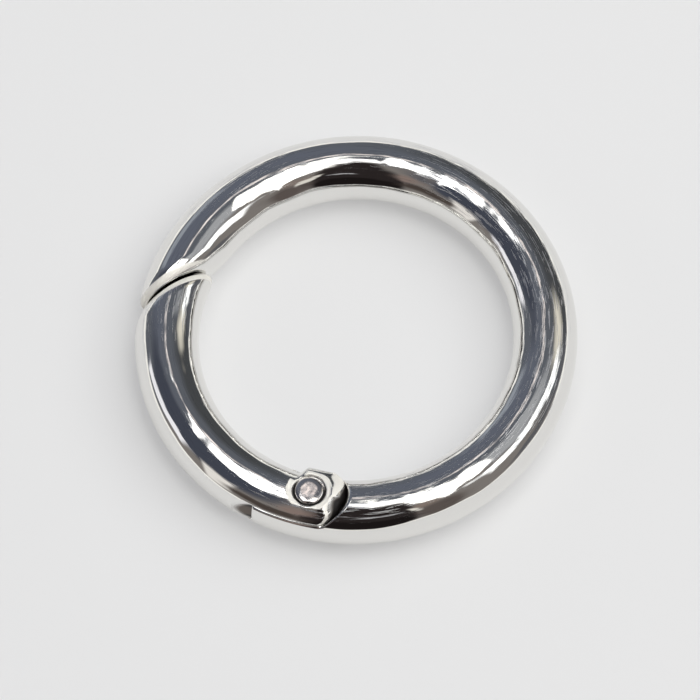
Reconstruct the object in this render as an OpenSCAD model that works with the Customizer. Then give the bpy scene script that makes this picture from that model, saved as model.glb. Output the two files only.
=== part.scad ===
// Spring gate ring: a round bar cast as an open ring, closed by a curved gate that
// swings inwards on a riveted hinge and is pushed shut by a small torsion spring.
// The ring lies flat, with its centre at the origin and its axis along Z.
// Millimetres and degrees.

/* [Ring] */
// Clear diameter inside the closed ring
ring_id = 25; // [22:0.5:40]
// Diameter of the round bar
bar_d = 5.1; // [4.9:0.1:6]

/* [Gate] */
// Where the hinge sits round the ring, counted from +X
hinge_angle = 255.5; // [180:0.5:340]
// Angle round the ring from the hinge to the nose joint
gate_span = 92.5; // [70:0.5:110]
// How far the gate swings inwards before it meets its stop
gate_swing = 35; // [20:1:40]
// Gap between the gate's tip and the nose of the ring
nose_gap = 0.2; // [0.1:0.05:0.4]
// Rounding round the edge of the gate's tip
tip_round = 0.65; // [0.3:0.05:0.9]
// Rounding round the edge of the ring's nose
nose_round = 0.8; // [0.3:0.05:0.9]

/* [Knuckle] */
// How far the hinge axis lies inside the bar's centre line
pin_inset = 0.45; // [0.2:0.05:0.6]
// Diameter of the gate's round knuckle
knuckle_d = 5.6; // [5.4:0.1:6]
// Rounding round the end of the knuckle
knuckle_round = 0.6; // [0.4:0.1:0.8]
// How far the knuckle's square shoulder stands proud of the bar, inside the ring
shoulder_proud = 0.12; // [0.05:0.01:0.3]
// Rounding along the edges of that shoulder
shoulder_round = 0.9; // [0.5:0.1:1.2]
// How far the gate's bar runs on past the hinge axis, at its outer side
gate_lip = 0.4; // [0.2:0.05:0.5]
// Diameter of the flat faced round each rivet head
flat_d = 3.7; // [3.4:0.1:4]
// Depth of those flats below the crown of the bar
flat_depth = 0.15; // [0.1:0.05:0.3]
// Thickness of each cheek of the fork in the knuckle
cheek_t = 0.95; // [0.8:0.05:1.1]
// Gap between the knuckle and the hollow end of the ring
knuckle_gap = 0.12; // [0.08:0.02:0.3]
// Width of the rounding round the edge of the ring's hollow end
socket_round = 0.5; // [0.3:0.05:0.7]
// How far past the hinge axis the two side edges of that hollow end stop
socket_lip = 1; // [0.8:0.1:1.4]

/* [Tongue] */
// Play between the tongue and each cheek
tongue_play = 0.06; // [0.03:0.01:0.1]
// Reach of the tongue past the hinge axis, to its stop faces
tongue_reach = 2.45; // [2.2:0.05:2.6]
// Length of the stop face that the open gate meets
stop_len = 0.7; // [0.5:0.05:0.9]
// Gap between a stop face and the floor of the gate's slot
stop_gap = 0.03; // [0.02:0.01:0.1]
// Reach of the tongue's tail past the hinge axis, along the outside of the gate
tail_reach = 4.2; // [3.5:0.1:4.6]
// Reach of the tail's slot past the hinge axis
tail_slot = 5.9; // [5:0.1:6.2]
// Thickness of the gate's wall between the spring and the tail
tail_wall = 0.5; // [0.4:0.05:0.6]

/* [Rivet] */
// Diameter of the rivet's shank
rivet_d = 1.6; // [1.3:0.1:1.7]
// Play between the shank and the tongue, on the radius
rivet_play = 0.04; // [0.02:0.01:0.08]
// How far a head reaches past the shank, on the radius
head_lip = 0.35; // [0.2:0.05:0.45]
// Height of a head at its edge
head_rim = 0.15; // [0.1:0.05:0.25]
// Rise of a head's dome above its edge
head_rise = 0.2; // [0.1:0.02:0.2]
// Depth of the recess that a head sits in
recess_depth = 0.3; // [0.2:0.05:0.4]
// Gap round a head in its recess, on the radius
recess_play = 0.15; // [0.05:0.01:0.2]

/* [Spring] */
// Diameter of the spring wire
wire_d = 0.4; // [0.3:0.02:0.42]
// Whole turns in the coil
spring_turns = 2; // [1:1:2]
// Space between one turn and the next
turn_gap = 0.02; // [0.01:0.01:0.04]
// Play between the coil and the rivet, on the radius
coil_play = 0.1; // [0.08:0.01:0.15]
// Length of each straight leg, from the hinge axis
leg_len = 5; // [4:0.1:6]
// Space above, below and behind the spring in its slot
spring_play = 0.03; // [0.02:0.01:0.08]

/* [Hidden] */
$fn = 72;

PLATE = [0.80, 0.81, 0.83];
STEEL = [0.62, 0.63, 0.65];

bar_r = bar_d / 2;
ring_r = ring_id / 2 + bar_r;          // centre line of the bar
pin_r = ring_r - pin_inset;            // hinge axis from the ring's centre
knuckle_r = knuckle_d / 2;
knuckle_h = bar_d - 2 * flat_depth;    // across the flats
flat_r = flat_d / 2;
socket_r = knuckle_r + knuckle_gap;    // hollow end of the ring, round the knuckle
slot_w = knuckle_h - 2 * cheek_t;
tongue_w = slot_w - 2 * tongue_play;

// The nose joint is an arc round the hinge axis, so the gate's tip swings clear of it.
nose_reach = sqrt(ring_r * ring_r + pin_r * pin_r - 2 * ring_r * pin_r * cos(gate_span));
gate_reach = nose_reach - nose_gap / 2;
ring_reach = nose_reach + nose_gap / 2;

BAR_LAP = 2;      // degrees of bar past a face, before the face is cut
KNUCKLE_ARC = 15; // degrees of the knuckle to each side of the hinge
END_OUT = 0.1;    // how far the knuckle's rounded end stands clear of the bar's crown
CORNER_STEPS = 6; // steps round a rounded corner

rivet_r = rivet_d / 2;
head_r = rivet_r + head_lip;
head_seat = knuckle_h / 2 - recess_depth;

wire_r = wire_d / 2;
coil_r = rivet_r + coil_play + wire_r;     // centre line of the wire
coil_rise = spring_turns * (wire_d + turn_gap);
spring_w = coil_rise + wire_d + 2 * spring_play;
spring_seat = coil_r + wire_r + spring_play;
tail_seat = spring_seat + tail_wall;       // outer face of the gate's wall, under the tail

// ---- Shared shapes ----

// Angle at the ring's centre between the hinge axis and a point that lies rho from
// the centre and reach from the hinge axis.
function angle_at(rho, reach) =
    acos((rho * rho + pin_r * pin_r - reach * reach) / (2 * rho * pin_r));

module bar_arc(from, to) {
    rotate([0, 0, from])
        rotate_extrude(angle = to - from)
            translate([ring_r, 0])
                circle(bar_r);
}

// Frame of the hinge: X points out of the ring, Y runs along the bar into the ring body.
module at_hinge() {
    rotate([0, 0, hinge_angle])
        translate([pin_r, 0, 0])
            children();
}

module hinge_cylinder(r) {
    at_hinge()
        cylinder(h = 2 * bar_d, r = r, center = true);
}

// Slot for the coil and a leg, open towards the middle of the ring.
module spring_slot(from, to) {
    at_hinge()
        translate([-bar_d, from, -spring_w / 2])
            cube([bar_d + spring_seat, to - from, spring_w]);
}

module both_sides() {
    children();
    mirror([0, 0, 1])
        children();
}

// ---- Rounded edge of a face at the nose joint ----

EDGE_SIDES = 48;     // steps round the bar
EDGE_BENDS = [15, 30, 45, 60, 75];   // steps along the rounding
EDGE_OUT = 0.1;      // how far the cutting tool reaches past the skin and past the face

// Section of the cutting tool, as [distance from the bar's centre line, distance back
// from the face]: the rounding's steps, run on at each end along the last one's slope.
function edge_section(rounding) =
    let (drop = rounding * (1 - cos(EDGE_BENDS[0])),
         run = (EDGE_OUT + drop) / tan(EDGE_BENDS[0]),
         back = rounding * (1 - sin(EDGE_BENDS[0])))
    concat(
        [[bar_r + EDGE_OUT, back + run]],
        [for (bend = EDGE_BENDS) [bar_r - rounding * (1 - cos(bend)), rounding * (1 - sin(bend))]],
        [[bar_r - back - run, -EDGE_OUT], [bar_r + 2 * EDGE_OUT, -2 * EDGE_OUT]]
    );

// Tool that rounds the edge of the face on the arc of that reach. back is -1 where the
// bar lies nearer the hinge than its face does, and 1 where it lies further.
module edge_tool(reach, back, rounding) {
    section = edge_section(rounding);
    count = len(section);
    points = [for (place = section, k = [0 : EDGE_SIDES - 1])
        let (turn = 360 * k / EDGE_SIDES,
             rho = ring_r + place[0] * cos(turn),
             angle = hinge_angle - angle_at(rho, reach + back * place[1]))
        [rho * cos(angle), rho * sin(angle), place[0] * sin(turn)]];
    faces = [for (i = [0 : count - 1], k = [0 : EDGE_SIDES - 1])
        let (next = (k + 1) % EDGE_SIDES,
             row = i * EDGE_SIDES,
             next_row = (i + 1) % count * EDGE_SIDES)
        each [[row + k, row + next, next_row + next], [row + k, next_row + next, next_row + k]]];
    polyhedron(points, back < 0 ? faces : [for (face = faces) [face[2], face[1], face[0]]]);
}

// ---- Ring body ----

PLAN_FAR = 2 * bar_d;    // clear of the bar on every side, from the hinge axis
PLAN_STEPS = 10;

// Points on an arc about the hinge axis, with angles counted from +X.
function plan_arc(reach, from, to) =
    [for (k = [0 : PLAN_STEPS]) let (turn = from + (to - from) * k / PLAN_STEPS) reach * [cos(turn), sin(turn)]];

// The tongue from above, in the hinge's frame: a tail along the outside of the gate, a
// flat stop for the shut gate, a round stretch that the gate's swing passes, and a flat
// stop for the open gate. The two stops and the round are at one reach from the hinge.
module tongue_plan() {
    tail_in = tail_seat + tongue_play;
    arc = plan_arc(tongue_reach, -90, -90 - gate_swing);
    corner = arc[PLAN_STEPS] + stop_len * [-cos(gate_swing), sin(gate_swing)];
    polygon(concat(
        [[PLAN_FAR, PLAN_FAR], [PLAN_FAR, -tail_reach], [tail_in, -tail_reach], [tail_in, -tongue_reach]],
        arc,
        [corner, [corner[0], 0], [-PLAN_FAR, 0], [-PLAN_FAR, PLAN_FAR]]
    ));
}

// The gate's slot from above: room for the tongue and its tail, with a flat floor that
// meets the stops and a round that clears the tongue's inner corner.
module slot_plan() {
    floor_y = tongue_reach + stop_gap;
    round_r = norm([tongue_reach, stop_len]) + stop_gap;
    polygon(concat(
        [[PLAN_FAR, PLAN_FAR], [PLAN_FAR, -tail_slot], [tail_seat, -tail_slot], [tail_seat, -floor_y]],
        plan_arc(round_r, -90 - acos(floor_y / round_r), -180),
        [[-PLAN_FAR, 0], [-PLAN_FAR, PLAN_FAR]]
    ));
}

module tongue_tool() {
    at_hinge()
        translate([0, 0, -tongue_w / 2])
            linear_extrude(tongue_w)
                tongue_plan();
}

// Hollow end of the ring: what it leaves clear round the knuckle, flaring at its edges.
module socket_tool() {
    flare_h = bar_r / 2;
    flare = [for (bend = [0 : 15 : 60])
        [socket_r + socket_round * (1 - cos(bend)), bar_r - flare_h * (1 - sin(bend))]];
    mouth = [socket_r + socket_round, bar_d];
    at_hinge() {
        rotate_extrude()
            polygon(concat(
                [[0, -bar_d], [0, bar_d], mouth],
                [for (k = [len(flare) - 1 : -1 : 0]) flare[k]],
                [for (place = flare) [place[0], -place[1]]],
                [[mouth[0], -mouth[1]]]
            ));
        translate([-bar_d, -2 * bar_d, -bar_d])
            cube([2 * bar_d, 2 * bar_d + socket_lip, 2 * bar_d]);
    }
}

// Hollow face at the nose, cut by the arc that the gate's tip swings along.
module nose_tool() {
    intersection() {
        hinge_cylinder(ring_reach);
        rotate([0, 0, hinge_angle - gate_span])
            translate([ring_r - bar_d, -2 * bar_d, -bar_d])
                cube([2 * bar_d, 4 * bar_d, 2 * bar_d]);
    }
}

// The tongue keeps the round of the bar, where the hollow end is cut away beside it.
module ring_body() {
    color(PLATE)
    difference() {
        bar_arc(hinge_angle - asin(tail_reach / ring_r) - BAR_LAP,
            hinge_angle + 360 - angle_at(ring_r + bar_r, ring_reach) + BAR_LAP);
        difference() {
            socket_tool();
            tongue_tool();
        }
        nose_tool();
        edge_tool(ring_reach, 1, nose_round);
        spring_slot(-bar_d, leg_len + spring_play);
        hinge_cylinder(rivet_r + rivet_play);
    }
}

// ---- Gate ----

// Rounded end of the knuckle, as a solid of revolution that stands clear of the bar.
module knuckle_end() {
    half_h = bar_r + END_OUT;
    at_hinge()
        rotate_extrude()
            polygon(concat(
                [[0, half_h]],
                rounded_corner(knuckle_r, half_h, knuckle_round, 0, 90),
                [for (place = rounded_corner(knuckle_r, half_h, knuckle_round, 90, 0)) [place[0], -place[1]]],
                [[0, -half_h]]
            ));
}

// Square shoulder on the inner side of the knuckle.
module knuckle_shoulder() {
    half_w = bar_r + shoulder_proud;
    half_h = knuckle_h / 2 + spring_play;
    corner = rounded_corner(half_w, half_h, shoulder_round, 0, 90);
    rotate([0, 0, hinge_angle - KNUCKLE_ARC])
        rotate_extrude(angle = 2 * KNUCKLE_ARC)
            translate([ring_r, 0])
                polygon(concat(
                    [[0, -half_h], [0, half_h]],
                    [for (place = corner) [-place[0], place[1]]],
                    [for (k = [len(corner) - 1 : -1 : 0]) -corner[k]]
                ));
}

// Corner of a rounded rectangle, from one angle to another, counted from straight up.
function rounded_corner(half_w, half_h, round_r, from, to) =
    [for (k = [0 : CORNER_STEPS]) let (bend = from + (to - from) * k / CORNER_STEPS)
        [half_w - round_r, half_h - round_r] + round_r * [sin(bend), cos(bend)]];

// The gate's bar, from its tip to the rounded end of the knuckle.
module gate_bar() {
    difference() {
        intersection() {
            bar_arc(hinge_angle - angle_at(ring_r - bar_r, gate_reach) - BAR_LAP, hinge_angle + KNUCKLE_ARC);
            hinge_cylinder(gate_reach);
            union() {
                knuckle_end();
                at_hinge()
                    translate([-3 * ring_r, gate_lip - 3 * ring_r, -bar_d])
                        cube([4 * ring_r, 3 * ring_r, 2 * bar_d]);
            }
        }
        edge_tool(gate_reach, -1, tip_round);
    }
}

module gate() {
    color(PLATE)
    difference() {
        union() {
            gate_bar();
            intersection() {
                knuckle_shoulder();
                knuckle_end();
            }
        }
        at_hinge() {
            both_sides() {
                translate([0, 0, knuckle_h / 2]) cylinder(h = bar_d, r = flat_r);
                translate([0, 0, head_seat]) cylinder(h = bar_d, r = head_r + recess_play);
            }
            cylinder(h = 2 * bar_d, r = rivet_r, center = true);
            translate([0, 0, -slot_w / 2])
                linear_extrude(slot_w)
                    slot_plan();
        }
        spring_slot(-leg_len - spring_play, 0);
    }
}

// ---- Rivet and spring ----

module hinge_rivet() {
    rim_z = head_seat + head_rim;
    dome_r = (head_r * head_r + head_rise * head_rise) / (2 * head_rise);
    dome_spread = asin(head_r / dome_r);
    dome = [for (k = [0 : 6]) let (bend = dome_spread * k / 6)
        [dome_r * sin(bend), rim_z + head_rise - dome_r * (1 - cos(bend))]];
    color(STEEL)
    at_hinge()
        rotate_extrude()
            polygon(concat(
                dome,
                [[head_r, head_seat], [rivet_r, head_seat], [rivet_r, -head_seat], [head_r, -head_seat]],
                [for (k = [6 : -1 : 0]) [dome[k][0], -dome[k][1]]]
            ));
}

// Middle of the wire at each step: angle round the coil, distance along a leg, height.
TURN_STEPS = 20;
WIRE_SIDES = 8;
wire_steps = spring_turns * TURN_STEPS;
wire_path = concat(
    [[0, -leg_len, coil_rise / 2]],
    [for (k = [0 : wire_steps]) [360 * k / TURN_STEPS, 0, coil_rise * (0.5 - k / wire_steps)]],
    [[0, leg_len, -coil_rise / 2]]
);

function wire_ring(step) = [for (turn = [0 : 360 / WIRE_SIDES : 359])
    let (out = coil_r + wire_r * cos(turn))
    [out * cos(step[0]), out * sin(step[0]) + step[1], step[2] + wire_r * sin(turn)]];

module torsion_spring() {
    last = (len(wire_path) - 1) * WIRE_SIDES;
    walls = [for (i = [0 : len(wire_path) - 2], k = [0 : WIRE_SIDES - 1])
        let (a = i * WIRE_SIDES + k, b = i * WIRE_SIDES + (k + 1) % WIRE_SIDES)
        each [[a, b, b + WIRE_SIDES], [a, b + WIRE_SIDES, a + WIRE_SIDES]]];
    ends = [[for (k = [WIRE_SIDES - 1 : -1 : 0]) k], [for (k = [0 : WIRE_SIDES - 1]) last + k]];
    color(STEEL)
    at_hinge()
        polyhedron([for (step = wire_path) each wire_ring(step)], concat(walls, ends));
}

ring_body();
gate();
hinge_rivet();
torsion_spring();
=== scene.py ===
"""Spring gate ring, dressed: plated ring body and gate, hinge rivet, torsion spring, stage.

Shapes are worked out in millimetres, in the frame of the CAD model: the ring lies flat,
with its centre at the origin and its axis along Z."""
import math
from types import SimpleNamespace

import bmesh
import bpy
import numpy as np
from bpy.props import FloatProperty, FloatVectorProperty, IntProperty, PointerProperty
from mathutils import Matrix, Vector


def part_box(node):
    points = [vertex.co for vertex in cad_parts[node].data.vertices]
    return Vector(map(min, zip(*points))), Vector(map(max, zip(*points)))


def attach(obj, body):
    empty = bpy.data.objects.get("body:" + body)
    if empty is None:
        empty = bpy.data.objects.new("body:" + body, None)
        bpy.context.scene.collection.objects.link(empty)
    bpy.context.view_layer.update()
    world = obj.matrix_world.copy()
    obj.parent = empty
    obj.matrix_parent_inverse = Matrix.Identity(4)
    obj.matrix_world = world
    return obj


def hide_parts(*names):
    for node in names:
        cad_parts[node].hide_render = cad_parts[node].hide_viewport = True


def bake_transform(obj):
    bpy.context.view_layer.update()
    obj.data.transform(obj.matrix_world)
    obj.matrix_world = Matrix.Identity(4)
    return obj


bl_info = {
    "name": "Spring gate ring",
    "version": (1, 0, 0),
    "blender": (4, 5, 0),
    "location": "View3D > Sidebar > Gate Ring",
    "description": "Dresses a spring gate ring: plated bar, gate, rivet and spring",
    "category": "Object",
}

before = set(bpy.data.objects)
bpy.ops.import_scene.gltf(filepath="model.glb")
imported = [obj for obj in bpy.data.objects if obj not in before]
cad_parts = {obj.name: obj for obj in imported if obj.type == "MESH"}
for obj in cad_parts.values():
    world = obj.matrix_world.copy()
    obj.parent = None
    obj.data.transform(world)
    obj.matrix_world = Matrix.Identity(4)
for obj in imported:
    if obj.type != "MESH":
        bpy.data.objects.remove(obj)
MM = 0.001            # metres in a millimetre


# ---- Settings ----

def length(name, text, millimetres):
    """A length, given in millimetres and kept in Blender's metres."""
    return FloatProperty(name=name, description=text, default=millimetres * MM, min=0,
                         precision=5, subtype="DISTANCE", unit="LENGTH")


def angle(name, text, degrees):
    """An angle, given in degrees and kept in radians."""
    return FloatProperty(name=name, description=text, default=math.radians(degrees), min=0,
                         subtype="ANGLE", unit="ROTATION")


class GateRingSizes(bpy.types.PropertyGroup):
    """Sizes of the ring: those of the solid model, and the finer ones of its finished edges."""

    ring_id: length("Opening", "Clear diameter inside the ring", 25)
    bar_d: length("Bar", "Diameter of the round bar", 5.1)
    hinge_angle: angle("Hinge angle", "Place of the hinge round the ring", 255.5)
    gate_span: angle("Gate span", "From the hinge to the nose joint, round the ring", 92.5)
    gate_swing: angle("Gate swing", "Travel of the gate", 35)
    nose_gap: length("Nose gap", "Gap between the gate's tip and the ring's nose", 0.2)
    tip_round: length("Tip rounding", "Height of the rounding at the gate's tip", 0.65)
    nose_round: length("Nose rounding", "Height of the rounding at the ring's nose", 0.8)
    end_stretch: FloatProperty(
        name="End stretch", default=1.6, min=1,
        description="Length of the nose's and tip's roundings, over their height")
    pin_inset: length("Pin inset", "Hinge axis inside the bar's centre line", 0.45)
    knuckle_d: length("Knuckle", "Diameter of the gate's knuckle", 5.6)
    knuckle_round: length("Knuckle end", "Rounding of the knuckle's end", 0.4)
    shoulder_proud: length("Shoulder", "Knuckle's flat shoulder, proud of the bar", 0.16)
    shoulder_len: length("Shoulder length", "Shoulder's reach along the gate", 0.9)
    shoulder_round: length("Shoulder rounding", "Rounding of the shoulder's long edges", 1)
    shoulder_end: length("Shoulder end", "Rounding of the shoulder's end", 0.5)
    shoulder_edge: length("Shoulder edge", "Rounding where the shoulder meets the end", 0.2)
    gate_lip: length("Gate lip", "Gate's bar past the hinge axis", 0.4)
    flat_d: length("Flat", "Diameter of the flat round a rivet head", 3.7)
    flat_depth: length("Flat depth", "Flats below the crown of the bar", 0.15)
    flat_round: length("Flat edge", "Rounding that the cutter leaves at a flat's edge", 0.28)
    end_slope: FloatProperty(
        name="End slope", default=0.48, min=0,
        description="Fall of the knuckle's end past the flat, over its length")
    cheek_t: length("Cheek", "Thickness of each cheek of the fork", 0.95)
    knuckle_gap: length("Socket gap", "Gap round the knuckle", 0.12)
    socket_round: length("Socket rounding", "Width of the socket's rounded edge", 0.5)
    socket_edge: length("Socket edge", "Rounding that polishing leaves on the rim", 0.16)
    socket_lip: length("Socket lip", "Socket's side edges past the hinge axis", 1)
    tongue_play: length("Tongue play", "Play between the tongue and each cheek", 0.06)
    tongue_reach: length("Tongue reach", "Reach of the tongue to its stops", 2.45)
    stop_len: length("Stop", "Length of the open gate's stop", 0.7)
    stop_gap: length("Stop gap", "Gap between a stop and the slot's floor", 0.03)
    tail_reach: length("Tail reach", "Reach of the tongue's tail", 4.2)
    tail_slot: length("Tail slot", "Reach of the tail's slot", 5.9)
    tail_wall: length("Tail wall", "Gate's wall between spring and tail", 0.5)
    rivet_d: length("Rivet", "Diameter of the rivet's shank", 1.6)
    head_lip: length("Rivet head", "Head's reach past the shank", 0.35)
    head_rim: length("Head rim", "Height of a head at its edge", 0.15)
    head_rise: length("Head dome", "Rise of a head's dome", 0.2)
    head_edge: length("Head edge", "Bevel under a head's edge", 0.04)
    head_dent: length("Head dents", "Unevenness of a set head", 0.005)
    recess_depth: length("Recess depth", "Depth of the rivet's recess", 0.3)
    recess_play: length("Recess play", "Gap round a head", 0.15)
    recess_round: length("Recess edge", "Rounding of the recess's edge", 0.22)
    wire_d: length("Spring wire", "Diameter of the spring's wire", 0.4)
    spring_turns: IntProperty(
        name="Spring turns", default=2, min=1, description="Whole turns in the coil")
    turn_gap: length("Turn gap", "Space between turns", 0.02)
    coil_play: length("Coil play", "Play between coil and rivet", 0.1)
    leg_len: length("Spring legs", "Length of each leg", 5)
    spring_play: length("Spring play", "Space round the spring in its slot", 0.03)
    cell: length("Mesh cell", "Size of a mesh cell at the hinge", 0.066)
    row: length("Mesh row", "Spacing of rows along the bar", 0.7)


def in_mm(group):
    """A group's settings, with lengths in millimetres and angles in degrees. Rounding drops
    what the settings' single precision adds."""
    values = {}
    for name in group.__annotations__:
        value = getattr(group, name)
        unit = group.bl_rna.properties[name].unit
        if unit == "LENGTH":
            value = round(value / MM, 5)
        elif unit == "ROTATION":
            value = round(math.degrees(value), 4)
        values[name] = value
    return SimpleNamespace(**values)


def linear(hex_colour):
    """sRGB hex such as "#d8d9dc" as a linear RGBA."""
    parts = [int(hex_colour.lstrip("#")[k:k + 2], 16) / 255 for k in (0, 2, 4)]
    return [c / 12.92 if c <= 0.04045 else ((c + 0.055) / 1.055) ** 2.4 for c in parts] + [1.0]


def colour(name, text, hex_colour):
    """A colour, as a property in Blender's linear values."""
    return FloatVectorProperty(name=name, description=text, default=linear(hex_colour)[:3],
                               subtype="COLOR", size=3, min=0, max=1)


class GateRingFinish(bpy.types.PropertyGroup):
    """Colours and surface of each finish."""

    plate: colour("Plate", "Colour of the polished nickel plate", "#ecebe8")
    line: colour("Polish lines", "Colour of the dull lines that polishing leaves", "#c4c5c9")
    # Faced flats and dressed ends: a satin finish, with a paler colour than the plate that is a painted
    # highlight.
    milled_and_highlight: colour(
        "Milled faces", "Colour of the satin faces round the rivet and at nose and tip", "#fbf8f0")
    # Slots: the darker colour deep in them is partly the bare casting and partly painted shade.
    slot: colour("Slots", "Colour of the bare casting deep in the slots", "#75695f")
    # Joints: near black, painted shade with polish residue.
    shade_and_residue: colour("Residue", "Colour of the polish residue in the joints", "#1e1b1a")
    rivet: colour("Rivet", "Colour of the plate on the rivet", "#ece7e4")
    spring: colour("Spring", "Colour of the spring steel", "#b4b2ae")
    floor: colour("Floor", "Colour of the floor", "#e6e6e6")
    roughness: FloatProperty(
        name="Roughness", description="Roughness of the plate",
        default=0.04, min=0, max=1, subtype="FACTOR")
    dull_roughness: FloatProperty(
        name="Dull roughness", description="Roughness of polish lines, milled faces and slots",
        default=0.5, min=0, max=1, subtype="FACTOR")
    line_depth: length("Line depth", "Depth of the broad polish lines", 0.016)
    swell: length("Swell", "Unevenness of the casting", 0.15)


class Plan:
    """Sizes that follow from the settings, in millimetres."""

    def __init__(self, s):
        self.bar_r = s.bar_d / 2
        self.ring_r = s.ring_id / 2 + self.bar_r
        self.pin_r = self.ring_r - s.pin_inset
        self.hinge = math.radians(s.hinge_angle)
        self.knuckle_r = s.knuckle_d / 2
        self.knuckle_z = self.bar_r - s.flat_depth
        self.slot_z = self.knuckle_z - s.cheek_t
        self.tongue_z = self.slot_z - s.tongue_play
        self.socket_r = self.knuckle_r + s.knuckle_gap
        nose = math.sqrt(self.ring_r ** 2 + self.pin_r ** 2
                         - 2 * self.ring_r * self.pin_r * math.cos(math.radians(s.gate_span)))
        self.gate_reach = nose - s.nose_gap / 2
        self.nose_reach = nose + s.nose_gap / 2
        self.rivet_r = s.rivet_d / 2
        self.head_r = self.rivet_r + s.head_lip
        self.head_seat = self.knuckle_z - s.recess_depth
        self.wire_r = s.wire_d / 2
        self.coil_r = self.rivet_r + s.coil_play + self.wire_r
        self.coil_rise = s.spring_turns * (s.wire_d + s.turn_gap)
        self.spring_z = (self.coil_rise + s.wire_d) / 2 + s.spring_play
        self.spring_seat = self.coil_r + self.wire_r + s.spring_play
        self.tail_seat = self.spring_seat + s.tail_wall

    def at_hinge(self, x, y, z):
        """Points given in the hinge's frame (out of the ring, along the bar, up), in the ring's."""
        c, n = math.cos(self.hinge), math.sin(self.hinge)
        out = self.pin_r + x
        return np.stack([out * c - y * n, out * n + y * c, z + 0 * out], -1)


# ---- Distance functions: negative inside a solid, positive outside, in millimetres ----

EDGE = 0.1            # mm, radius that polishing and plating leave on an edge
FILLET = 0.08         # mm, radius in an inner corner
FAR = 12.0            # mm, clear of the bar on every side of the hinge
OVERLAP = 0.03        # mm that the shoulder starts above the flats, which then cut it level
STEEPEST = 0.97       # share of a rounding's width where its curve ends, just short of upright


def cut(a, b, radius=EDGE):
    """Distance to the overlap of two solids, with the edge between them rounded:
    the length of what reaches within the radius of both faces, less the radius."""
    both = np.hypot(np.maximum(radius + a, 0), np.maximum(radius + b, 0))
    return np.minimum(-radius, np.maximum(a, b)) + both


def join(a, b, radius=FILLET):
    """Distance to two solids together, with a fillet between them."""
    return -cut(-a, -b, radius)


def box_distance(p, q, half_p, half_q, radius):
    """Distance to a rectangle with rounded corners, from the offsets p and q of its middle."""
    p, q = np.abs(p) - half_p + radius, np.abs(q) - half_q + radius
    return np.hypot(np.maximum(p, 0), np.maximum(q, 0)) + np.minimum(np.maximum(p, q), 0) - radius


def outline_distance(x, y, outline):
    """Distance to a closed outline: the nearest of its sides, signed by the number of
    sides that a line towards +X crosses."""
    nearest = np.full(np.shape(x), 1e9)
    inside = np.zeros(np.shape(x), bool)
    for (ax, ay), (bx, by) in zip(outline, np.roll(outline, -1, 0)):
        ex, ey = bx - ax, by - ay
        along = np.clip(((x - ax) * ex + (y - ay) * ey) / (ex * ex + ey * ey), 0, 1)
        nearest = np.minimum(nearest, np.hypot(x - ax - along * ex, y - ay - along * ey))
        if ey:
            inside ^= ((ay > y) != (by > y)) & (x < ax + (y - ay) * ex / ey)
    return np.where(inside, -nearest, nearest)


def arc(reach, start, end, steps=24):
    """Points on an arc about the hinge axis, from one angle in degrees to another."""
    turn = np.radians(np.linspace(start, end, steps))
    return reach * np.stack([np.cos(turn), np.sin(turn)], -1)


def tongue_outline(s, g):
    """The tongue from above: a tail, a flat stop, a round stretch and a second flat stop."""
    tail_in = g.tail_seat + s.tongue_play
    rounded = arc(s.tongue_reach, -90, -90 - s.gate_swing)
    swing = math.radians(s.gate_swing)
    corner = rounded[-1] + s.stop_len * np.array([-math.cos(swing), math.sin(swing)])
    return np.concatenate([
        [[FAR, FAR], [FAR, -s.tail_reach], [tail_in, -s.tail_reach], [tail_in, -s.tongue_reach]],
        rounded, [corner, [corner[0], 0], [-FAR, 0], [-FAR, FAR]]])


def slot_outline(s, g):
    """The gate's slot from above: room for the tongue, its tail and its inner corner."""
    floor = s.tongue_reach + s.stop_gap
    rounded = math.hypot(s.tongue_reach, s.stop_len) + s.stop_gap
    return np.concatenate([
        [[FAR, FAR], [FAR, -s.tail_slot], [g.tail_seat, -s.tail_slot], [g.tail_seat, -floor]],
        arc(rounded, -90 - math.degrees(math.acos(floor / rounded)), -180),
        [[-FAR, 0], [-FAR, FAR]]])


class Places:
    """Coordinates of an array of points, for the distance functions: rho and turn about the
    ring's axis, z and its size high, and in the hinge's frame out, along and reach."""

    def __init__(self, p, g):
        x, y, self.z = p[..., 0], p[..., 1], p[..., 2]
        self.rho = np.hypot(x, y)
        self.turn = np.mod(np.arctan2(y, x), 2 * math.pi)
        c, n = math.cos(g.hinge), math.sin(g.hinge)
        self.out, self.along = x * c + y * n - g.pin_r, y * c - x * n
        self.reach = np.hypot(self.out, self.along)
        self.high = np.abs(self.z)


def rounding(share):
    """Rise of a quarter circle over its radius, from its share of the way to upright."""
    return 1 - np.sqrt(1 - np.clip(share, 0, STEEPEST) ** 2)


def bar_distance(q, g):
    """Distance to the round bar: from its centre line, less its radius."""
    return np.hypot(q.rho - g.ring_r, q.z) - g.bar_r


def spring_slot_distance(q, s, g, start, end):
    """Distance to the slot for the coil and a leg, open towards the middle of the ring."""
    past_ends = np.abs(q.along - (start + end) / 2) - (end - start) / 2
    return np.maximum(np.maximum(q.high - g.spring_z, q.out - g.spring_seat), past_ends)


def body_distance(p, s, g):
    """The bar, less the hollow end round the knuckle, with the tongue left standing in it."""
    q = Places(p, g)
    flare = s.socket_round * rounding((q.high - g.bar_r / 2) / (g.bar_r / 2))
    hollow = q.reach - (g.socket_r + flare)
    clear_of_hollow = cut(-hollow, s.socket_lip - q.along)
    tongue = cut(outline_distance(q.out, q.along, tongue_outline(s, g)), q.high - g.tongue_z)
    solid = cut(bar_distance(q, g), join(clear_of_hollow, tongue), s.socket_edge)
    return cut(solid, -spring_slot_distance(q, s, g, -FAR, s.leg_len + s.spring_play), EDGE / 2)


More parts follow.
